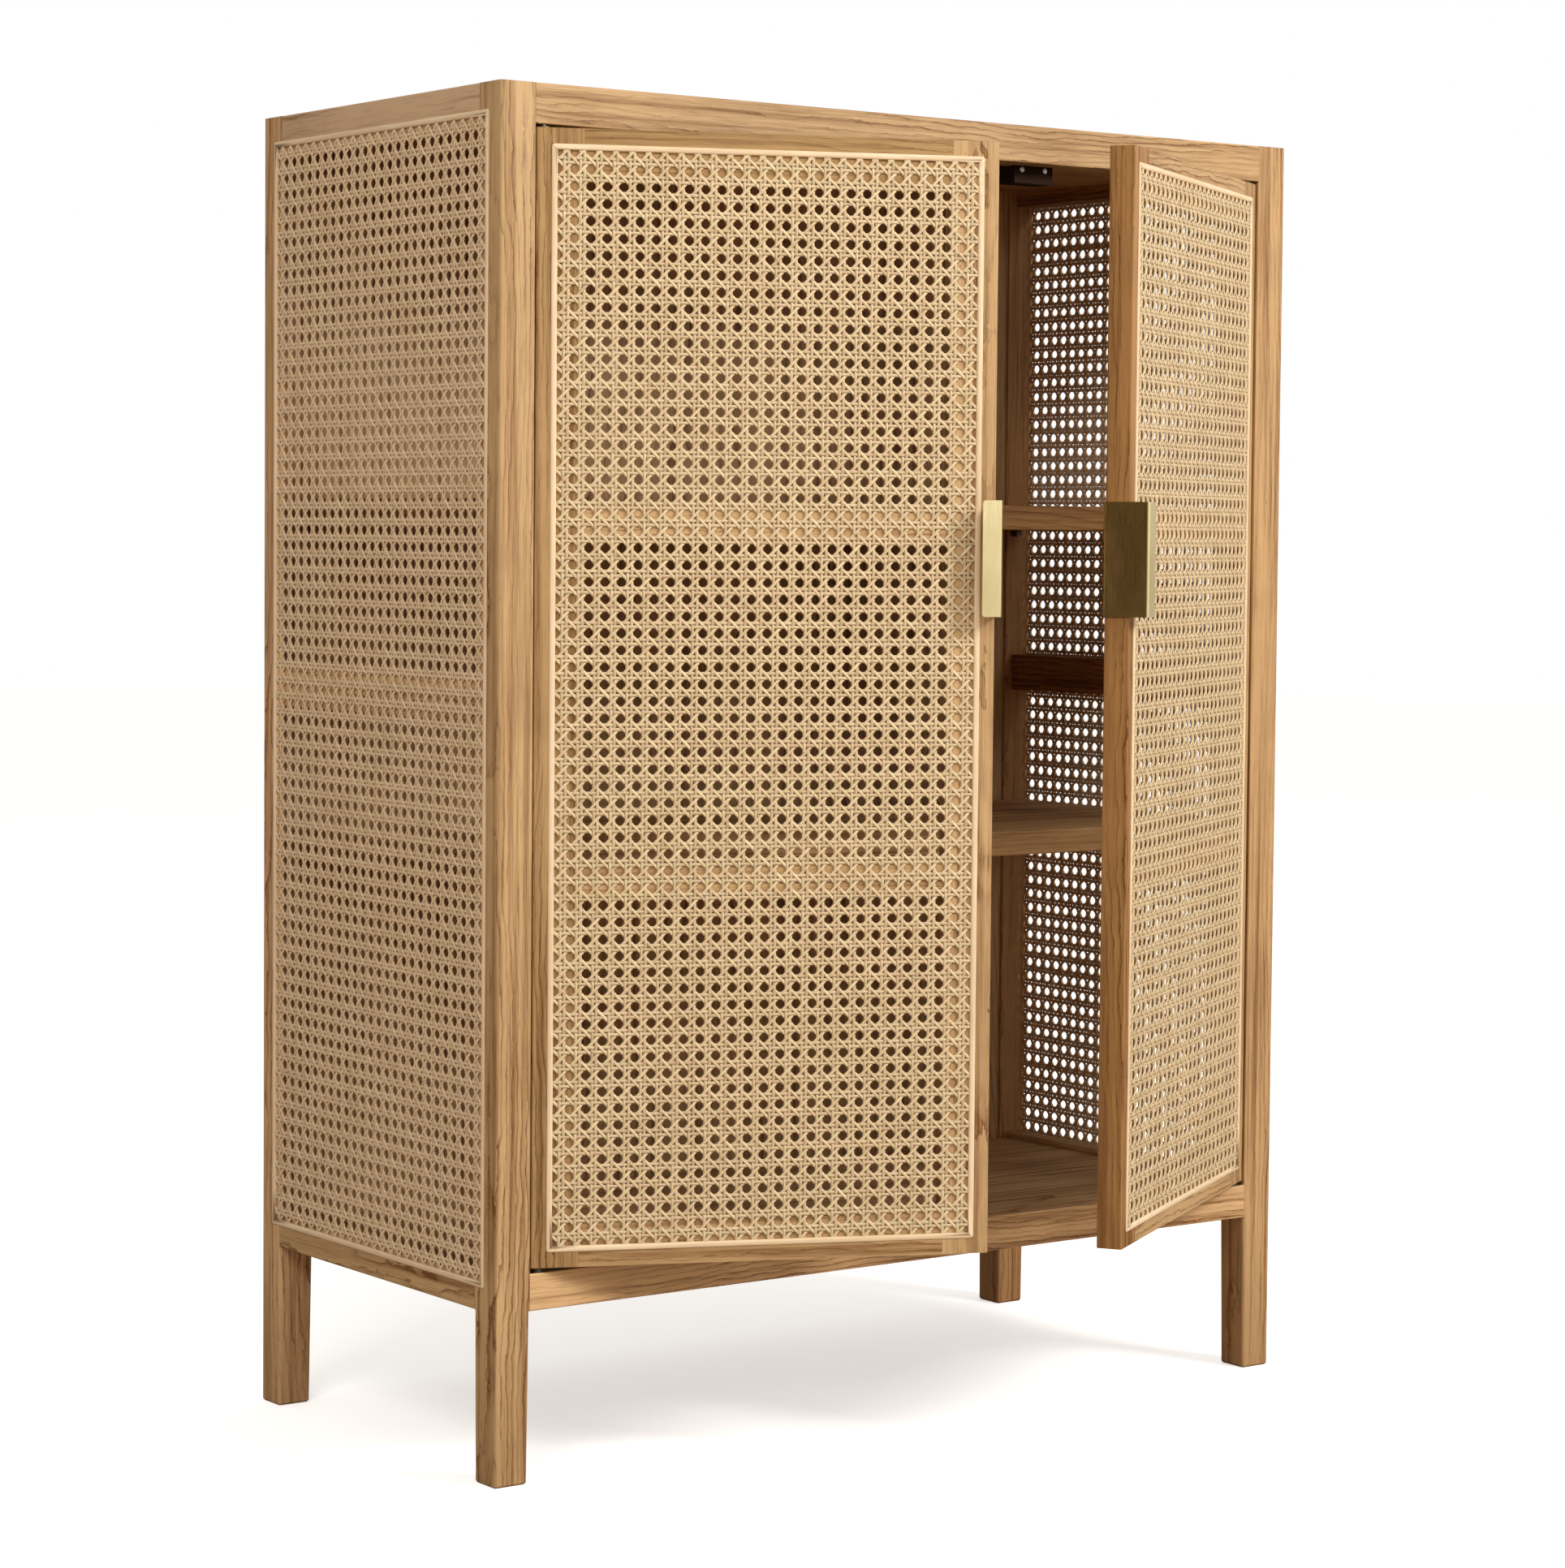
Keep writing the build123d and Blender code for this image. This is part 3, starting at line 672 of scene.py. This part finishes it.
def cane_material(settings, name, tint):
    """Glossy split cane: fine fibres along the strand, darker edges and a joint here and there."""
    material, tree, shader = new_material(name, 0.42, specular=0.45)
    run = tree.node("ShaderNodeAttribute", attribute_name="run").outputs["Vector"]
    along, across, strand = tree.parts(run)
    own = tree.vector(along, across, tree.math("MULTIPLY", strand, 61.0))
    fibre = tree.noise(own, (70.0, 9.0, 1.0), detail=2.0)
    patch = tree.noise(own, (14.0, 0.6, 1.0), detail=2.0)
    fine = tree.spread(fibre, 0.3, 0.7, -0.22, 0.22)
    tone = tree.math("ADD", fine, tree.spread(patch, 0.3, 0.7, 0.05, 0.6))
    tone = tree.total(tone, (strand, 0.3), clamp=True)
    edge = tree.spread(tree.math("ABSOLUTE", across), 0.3, 0.5, 0.0, 0.45)
    place = tree.math("FRACT", tree.math("ADD", tree.math("MULTIPLY", along, 4.3),
                                         tree.math("MULTIPLY", strand, 13.7)))
    joint = tree.spread(tree.math("ABSOLUTE", tree.math("SUBTRACT", place, 0.5)), 0.0, 0.006, 0.5, 0.0)
    pale = [min(1.0, value) for value in tinted(settings.pale, tint)]
    tan = tinted(settings.tan, tint)
    base = tree.mix(tone, pale, tan)
    shaded = tree.mix(tree.math("MAXIMUM", edge, joint), base, [value * 0.5 for value in tan])
    tree.tree.links.new(shaded, shader.inputs["Base Color"])
    tree.tree.links.new(tree.spread(fibre, 0.3, 0.7, 0.36, 0.52), shader.inputs["Roughness"])
    add_bump(tree, shader, fibre, 0.3, 0.0001)
    return material


class CABINET_OT_weave_cane(bpy.types.Operator):
    """Weave the four cane panels, each from upright, level, rising and falling strands"""

    bl_idname = "cabinet.weave_cane"
    bl_label = "Weave the cane"

    def execute(self, context):
        settings = context.scene.cabinet_cane
        draw = random.Random(settings.seed)
        materials = {}
        # each body's tint paints light onto the sides' cane
        for body, tint in CANE_PAINTED_LIGHT_TINTS.items():
            # a copy with painted highlight for the slanting strands and one with painted shade for the upright and
            # level ones
            for slanting, shade in ((False, STRAIGHT_PAINTED_SHADE), (True, SLANTING_PAINTED_HIGHLIGHT)):
                name = "Cane " + body + (" slanting" if slanting else " straight")
                shaded = [value * shade for value in tint]
                materials[body, slanting] = cane_material(settings, name, shaded)
        for node, body in PANELS.items():
            place, wide, high, _ = panel_place(node, body)
            door = body in DOORS
            pitch = settings.door_pitch if door else settings.side_pitch
            weave = Weave(settings, wide + 2 * TUCK, high + 2 * TUCK, pitch, 0.0 if door else 0.5, draw)
            families = {
                "uprights": weave.straight(0),
                "levels": weave.straight(1),
                "rising": weave.slanting(1),
                "falling": weave.slanting(-1),
            }
            for family, strands in families.items():
                name = node + "_" + family
                mesh = strand_mesh(name, strands, settings.thickness)
                add_piece(name, mesh, place, body, (node,))
                mesh.materials.append(materials[body, family in SLANTING])
        return {"FINISHED"}


# ---------------------------------------------------------------- reed

def ring_path(wide, high, radius):
    """Points and outward directions along a rounded rectangle."""
    points, outwards = [], []
    corners = ((1, 1, 0.0), (-1, 1, 0.5), (-1, -1, 1.0), (1, -1, 1.5))
    for x, y, begin in corners:
        centre = np.array((x * (wide / 2 - radius), y * (high / 2 - radius)))
        for step in range(CORNER_STEPS + 1):
            angle = math.pi * (begin + 0.5 * step / CORNER_STEPS)
            outward = np.array((math.cos(angle), math.sin(angle)))
            points.append(centre + radius * outward)
            outwards.append(outward)
    return np.array(points), np.array(outwards)


def reed_mesh(name, wide, high, across, proud, deep, radius, draw):
    """A half-round reed bent round a rectangle, given the ring's outer size and its width across."""
    corners, outwards = ring_path(wide, high, radius)
    points, directions = [], []
    for index, here in enumerate(corners):
        following = (index + 1) % len(corners)
        there = corners[following]
        pieces = max(1, round(float(np.linalg.norm(there - here)) / REED_STEP))
        for piece in range(pieces):
            part = piece / pieces
            points.append(here + (there - here) * part)
            direction = outwards[index] * (1 - part) + outwards[following] * part
            directions.append(direction / np.linalg.norm(direction))
    profile = [(0.0, -deep), (0.0, -REED_SINK)]
    for step in range(1, REED_ARC):
        angle = math.pi * step / REED_ARC
        rise = (proud + REED_SINK) * math.sin(angle) ** REED_FULLNESS
        profile.append((-(1 - math.cos(angle)) / 2, rise - REED_SINK))
    profile += [(-1.0, -REED_SINK), (-1.0, -deep)]
    count = len(profile)
    vertices, faces, runs = [], [], []
    along = 0.0
    for index, (point, direction) in enumerate(zip(points, directions)):
        swell = 1 + REED_SWELL * draw.uniform(-1, 1)
        for inward, height in profile:
            x, y = point + direction * inward * across
            vertices.append((x, y, height * (swell if height > 0 else 1)))
            runs.append((along, inward + 0.5, 0.5))
        following = points[(index + 1) % len(points)]
        along += float(np.linalg.norm(following - point))
        first, second = index * count, ((index + 1) % len(points)) * count
        for k in range(count):
            beside = (k + 1) % count
            faces.append((first + k, second + k, second + beside, first + beside))
    mesh = bpy.data.meshes.new(name)
    mesh.from_pydata(vertices, [], faces)
    mesh.attributes.new("run", "FLOAT_VECTOR", "POINT").data.foreach_set(
        "vector", np.array(runs, np.float32).ravel())
    mesh.polygons.foreach_set("use_smooth", [True] * len(mesh.polygons))
    mesh.update()
    return mesh


def reed_material(settings):
    """Pale reed with long fibres and small scuffs."""
    material, tree, shader = new_material("Reed", 0.55, specular=0.35)
    run = tree.node("ShaderNodeAttribute", attribute_name="run").outputs["Vector"]
    fibre = tree.noise(run, (55.0, 7.0, 1.0), detail=3.0, roughness=0.6)
    patch = tree.noise(run, (9.0, 0.4, 1.0), detail=3.0)
    fine = tree.spread(fibre, 0.35, 0.7, 0.0, 0.5)
    tone = tree.math("ADD", fine, tree.spread(patch, 0.35, 0.7, 0.0, 0.5), clamp=True)
    tree.tree.links.new(tree.mix(tone, settings.pale, settings.shade), shader.inputs["Base Color"])
    tree.tree.links.new(tree.spread(fibre, 0.3, 0.7, 0.48, 0.62), shader.inputs["Roughness"])
    add_bump(tree, shader, fibre, 0.3, 0.00015)
    return material


class CABINET_OT_set_reed(bpy.types.Operator):
    """Bend a half-round reed into each panel's groove"""

    bl_idname = "cabinet.set_reed"
    bl_label = "Set the reed splines"

    def execute(self, context):
        settings = context.scene.cabinet_reed
        draw = random.Random(REED_SEED)
        material = reed_material(settings)
        for cane, body in PANELS.items():
            node = cane.replace("cane", "spline")
            cane_place, inner_wide, _, cane_thick = panel_place(cane, body)
            _, wide, high, _ = panel_place(node, body)
            across = (wide - inner_wide) / 2
            mesh = reed_mesh(node + "_reed", wide, high, across, settings.proud,
                             cane_thick * REED_DEPTH, settings.corner, draw)
            mesh.materials.append(material)
            add_piece(node + "_reed", mesh, cane_place, body, (node,))
        return {"FINISHED"}


# ---------------------------------------------------------------- brass, steel and plastic

def brass_material(settings):
    """Brushed brass with a little tarnish."""
    material, tree, shader = new_material("Brass", 0.3, metallic=1.0)
    place = tree.node("ShaderNodeTexCoord").outputs["Object"]
    brush = tree.noise(place, (2600.0, 2600.0, 60.0), detail=2.0)
    patch = tree.noise(place, (38.0, 38.0, 22.0), detail=4.0)
    dulled = tree.spread(patch, 0.4, 0.75, 0.0, 0.55)
    tone = tree.math("ADD", dulled, tree.spread(brush, 0.3, 0.7, 0.0, 0.25))
    tree.tree.links.new(tree.mix(tone, settings.brass, settings.tarnish), shader.inputs["Base Color"])
    brushed = tree.spread(brush, 0.3, 0.7, 0.25, 0.36)
    rough = tree.math("ADD", brushed, tree.spread(patch, 0.4, 0.8, 0.0, 0.12))
    tree.tree.links.new(rough, shader.inputs["Roughness"])
    add_bump(tree, shader, brush, 0.15, 0.00005)
    return material


def metal_material(name, shine):
    """Plated metal with a fine spangle."""
    material, tree, shader = new_material(name, 0.38, metallic=1.0)
    place = tree.node("ShaderNodeTexCoord").outputs["Object"]
    spangle = tree.noise(place, (420.0, 420.0, 420.0), detail=3.0)
    dull = [value * 0.72 for value in shine]
    mixed = tree.mix(tree.spread(spangle, 0.35, 0.7), shine, dull)
    tree.tree.links.new(mixed, shader.inputs["Base Color"])
    tree.tree.links.new(tree.spread(spangle, 0.3, 0.7, 0.32, 0.48), shader.inputs["Roughness"])
    return material


def stud_mesh(name, low, high):
    """The two round steel studs on a catch's nose, as one mesh."""
    rings = (
        (STUD_RADIUS, low.y + STUD_SINK),
        (STUD_RADIUS, low.y - STUD_PROUD * 0.6),
        (STUD_RADIUS * 0.75, low.y - STUD_PROUD),
    )
    sides = STUD_SIDES
    vertices, faces = [], []
    for across in STUD_PLACES:
        x = low.x + (high.x - low.x) * across
        z = low.z + STUD_HEIGHT
        start = len(vertices)
        for reach, y in rings:
            for k in range(sides):
                turn = 2 * math.pi * k / sides
                vertices.append((x + reach * math.cos(turn), y, z + reach * math.sin(turn)))
        for ring in range(len(rings) - 1):
            first = start + ring * sides
            for k in range(sides):
                beside = (k + 1) % sides
                faces.append((first + k, first + beside, first + sides + beside, first + sides + k))
        faces.append([start + k for k in reversed(range(sides))])
        faces.append([start + (len(rings) - 1) * sides + k for k in range(sides)])
    mesh = bpy.data.meshes.new(name)
    mesh.from_pydata(vertices, [], faces)
    mesh.update()
    return mesh


def plastic_material(settings):
    """Brown moulded plastic with a fine texture."""
    material, tree, shader = new_material("Moulded plastic", 0.7, specular=0.12)
    place = tree.node("ShaderNodeTexCoord").outputs["Object"]
    pits = tree.noise(place, (1500.0, 1500.0, 1500.0), detail=2.0)
    cloud = tree.noise(place, (60.0, 60.0, 60.0), detail=2.0)
    dark = [value * 0.8 for value in settings.plastic]
    mixed = tree.mix(tree.spread(cloud, 0.3, 0.7), settings.plastic, dark)
    tree.tree.links.new(mixed, shader.inputs["Base Color"])
    tree.tree.links.new(tree.spread(pits, 0.3, 0.7, 0.62, 0.78), shader.inputs["Roughness"])
    add_bump(tree, shader, pits, 0.2, 0.0001)
    return material


class CABINET_OT_finish_hardware(bpy.types.Operator):
    """Give the pulls, pivots, screws, strikes and catches their metal and plastic"""

    bl_idname = "cabinet.finish_hardware"
    bl_label = "Finish the hardware"

    def execute(self, context):
        settings = context.scene.cabinet_brass
        made = {
            "brass": brass_material(settings),
            # the steel's dark colour is painted shade
            "steel": metal_material("Zinc-plated steel", settings.steel),
            "catch": plastic_material(settings),
        }
        # painted shade: the pivot bushes get near-black brass so they stay dark under the doors
        shaded_brass = metal_material("Brass darkened as shade", settings.shaded_brass)
        for part in frame["record"]["subparts"]:
            node, slot = part["node"], part["material_slot"]
            if node.endswith("bushes"):
                set_material(frame["nodes"][node], shaded_brass)
            elif slot in made:
                set_material(frame["nodes"][node], made[slot])
        bright = metal_material("Bright steel", settings.bright)
        for side in ("left", "right"):
            low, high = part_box(side + "_catch")
            mesh = stud_mesh(side + "_catch_studs", low, high)
            mesh.materials.append(bright)
            add_piece(side + "_catch_studs", mesh, Matrix.Identity(4), "cabinet")
        return {"FINISHED"}


# ---------------------------------------------------------------- stage

def add_lamp(name, target, place, size, watts, tone):
    """A square area lamp that faces a point."""
    lamp = bpy.data.lights.new(name, "AREA")
    lamp.shape = "SQUARE"
    lamp.size = size
    lamp.energy = watts
    lamp.color = tone
    holder = bpy.data.objects.new(name, lamp)
    bpy.context.scene.collection.objects.link(holder)
    holder.location = place
    holder.rotation_euler = (Vector(place) - target).to_track_quat("Z", "Y").to_euler()
    return holder


def add_camera(settings):
    """The camera, placed from the foot of the front left post."""
    lens = bpy.data.cameras.new("Camera")
    lens.lens = settings.lens
    lens.shift_y = settings.shift
    camera = bpy.data.objects.new("Camera", lens)
    bpy.context.scene.collection.objects.link(camera)
    level = Matrix.Rotation(settings.turn, 4, "Z") @ Matrix.Rotation(math.pi / 2 - settings.tilt, 4, "X")
    camera.matrix_world = (Matrix.Translation(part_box("front_left_post")[0] + Vector(settings.eye))
                           @ level @ Matrix.Rotation(settings.roll, 4, "Z"))
    bpy.context.scene.camera = camera


def add_world(settings):
    """Soft light from all round, with a white backdrop for the camera."""
    world = bpy.data.worlds.new("Studio")
    world.use_nodes = True
    world.node_tree.nodes.clear()
    tree = Tree(world.node_tree)
    paths = tree.node("ShaderNodeLightPath").outputs
    seen = paths["Is Camera Ray"]
    right, back, up = tree.parts(tree.node("ShaderNodeTexCoord").outputs["Generated"])
    # the diffuse light is stronger from the right, from the front and from above
    level = tree.total(0.60, (right, 0.30), (back, -0.14), (up, 0.26), clamp=True)
    # shiny pieces mirror a bright front and right side, and a dark brown room on the left
    ahead = tree.math("POWER", tree.math("MAXIMUM", tree.math("MULTIPLY", back, -1.0), 0.0), 3.0)
    aside = tree.math("POWER", tree.math("MAXIMUM", right, 0.0), 2.0)
    above = tree.math("MAXIMUM", up, 0.0)
    mirrored = tree.total(0.015, (ahead, 2.4), (aside, 1.3), (above, 0.5))
    shiny = paths["Is Glossy Ray"]
    matt = tree.math("SUBTRACT", 1.0, shiny)
    level = tree.math("ADD", tree.math("MULTIPLY", level, matt), tree.math("MULTIPLY", mirrored, shiny))
    tone = tree.mix(tree.spread(up, -0.1, 0.8), WARM, DAYLIGHT)
    dusky = tree.mix(tree.spread(mirrored, 0.1, 1.4), BROWN, DAYLIGHT)
    tone = tree.mix(shiny, tone, dusky)
    soft = tree.node("ShaderNodeBackground", None,
                     {"Color": tone, "Strength": tree.math("MULTIPLY", level, settings.sky)})
    white = tree.node("ShaderNodeBackground", {"Color": (1.0, 1.0, 1.0, 1.0), "Strength": 1.0})
    both = tree.node("ShaderNodeMixShader", None,
                     {0: seen, 1: soft.outputs[0], 2: white.outputs[0]})
    tree.node("ShaderNodeOutputWorld", None, {"Surface": both.outputs[0]})
    bpy.context.scene.world = world


def floor_material(settings):
    """A pale, slightly mottled floor."""
    material, tree, shader = new_material("Floor", 0.75, specular=0.2)
    place = tree.node("ShaderNodeTexCoord").outputs["Object"]
    cloud = tree.noise(place, (1.5, 1.5, 1.5), detail=3.0)
    dim = [value * 0.98 for value in settings.floor]
    paths = tree.node("ShaderNodeLightPath").outputs
    seen = paths["Is Camera Ray"]
    bounce = tree.mix(paths["Is Glossy Ray"], settings.bounce, tinted(settings.bounce, FLOOR_GLOSS))
    base = tree.mix(seen, bounce, tree.mix(cloud, settings.floor, dim))
    tree.tree.links.new(base, shader.inputs["Base Color"])
    glow = tree.math("MULTIPLY", seen, settings.glow)
    tree.tree.links.new(glow, shader.inputs["Emission Strength"])
    shader.inputs["Emission Color"].default_value = (1.0, 0.995, 0.985, 1.0)
    return material


class CABINET_OT_build_stage(bpy.types.Operator):
    """Lay the pale floor, and set up the lamps, the backdrop light and the camera"""

    bl_idname = "cabinet.build_stage"
    bl_label = "Build the stage"

    def execute(self, context):
        settings = context.scene.cabinet_stage
        mesh = bpy.data.meshes.new("floor")
        corners = []
        for k in range(FLOOR_SIDES):
            turn = 2 * math.pi * k / FLOOR_SIDES
            corners.append((FLOOR_RADIUS * math.cos(turn), FLOOR_RADIUS * math.sin(turn), 0.0))
        mesh.from_pydata(corners, [], [list(range(FLOOR_SIDES))])
        mesh.materials.append(floor_material(settings))
        floor = bpy.data.objects.new("floor", mesh)
        context.scene.collection.objects.link(floor)
        floor.location.z = -FLOOR_DROP
        middle = (CAD_BOX[0] + CAD_BOX[1]) / 2
        add_lamp("Key", middle, KEY_PLACE, KEY_SIZE, settings.key, KEY_TONE)
        fill = add_lamp("Fill", middle, FILL_PLACE, FILL_SIZE, settings.fill, FILL_TONE)
        fill.visible_glossy = False
        add_world(settings)
        add_camera(settings)
        context.scene.view_settings.view_transform = "Standard"
        return {"FINISHED"}


# ---------------------------------------------------------------- panel and registration

STEPS = (
    CABINET_OT_build_stage,
    CABINET_OT_finish_oak,
    CABINET_OT_weave_cane,
    CABINET_OT_set_reed,
    CABINET_OT_finish_hardware,
)
SETTINGS = {
    "cabinet_cane": CaneSettings,
    "cabinet_reed": ReedSettings,
    "cabinet_oak": OakSettings,
    "cabinet_brass": BrassSettings,
    "cabinet_stage": StageSettings,
}


class CABINET_PT_sidebar(bpy.types.Panel):
    """The cabinet's settings and steps."""

    bl_idname = "CABINET_PT_sidebar"
    bl_label = "Cane Shoe Cabinet"
    bl_space_type = "VIEW_3D"
    bl_region_type = "UI"
    bl_category = "Cabinet"

    def draw(self, context):
        for step in STEPS:
            self.layout.operator(step.bl_idname)
        for key, group in SETTINGS.items():
            box = self.layout.box()
            box.label(text=group.__doc__)
            for name in group.__annotations__:
                box.prop(getattr(context.scene, key), name)


def register():
    """Registers the settings, the steps and the sidebar panel."""
    for group in SETTINGS.values():
        bpy.utils.register_class(group)
    for step in (*STEPS, CABINET_PT_sidebar):
        bpy.utils.register_class(step)
    for key, group in SETTINGS.items():
        setattr(bpy.types.Scene, key, PointerProperty(type=group))


def unregister():
    """Takes everything that register adds away again."""
    for key in SETTINGS:
        delattr(bpy.types.Scene, key)
    for step in reversed((*STEPS, CABINET_PT_sidebar)):
        bpy.utils.unregister_class(step)
    for group in SETTINGS.values():
        bpy.utils.unregister_class(group)


def main():
    """Registers the add-on and runs every step in order."""
    register()
    bpy.ops.cabinet.build_stage()
    bpy.ops.cabinet.finish_oak()
    bpy.ops.cabinet.weave_cane()
    bpy.ops.cabinet.set_reed()
    bpy.ops.cabinet.finish_hardware()


if __name__ == "__main__":
    main()
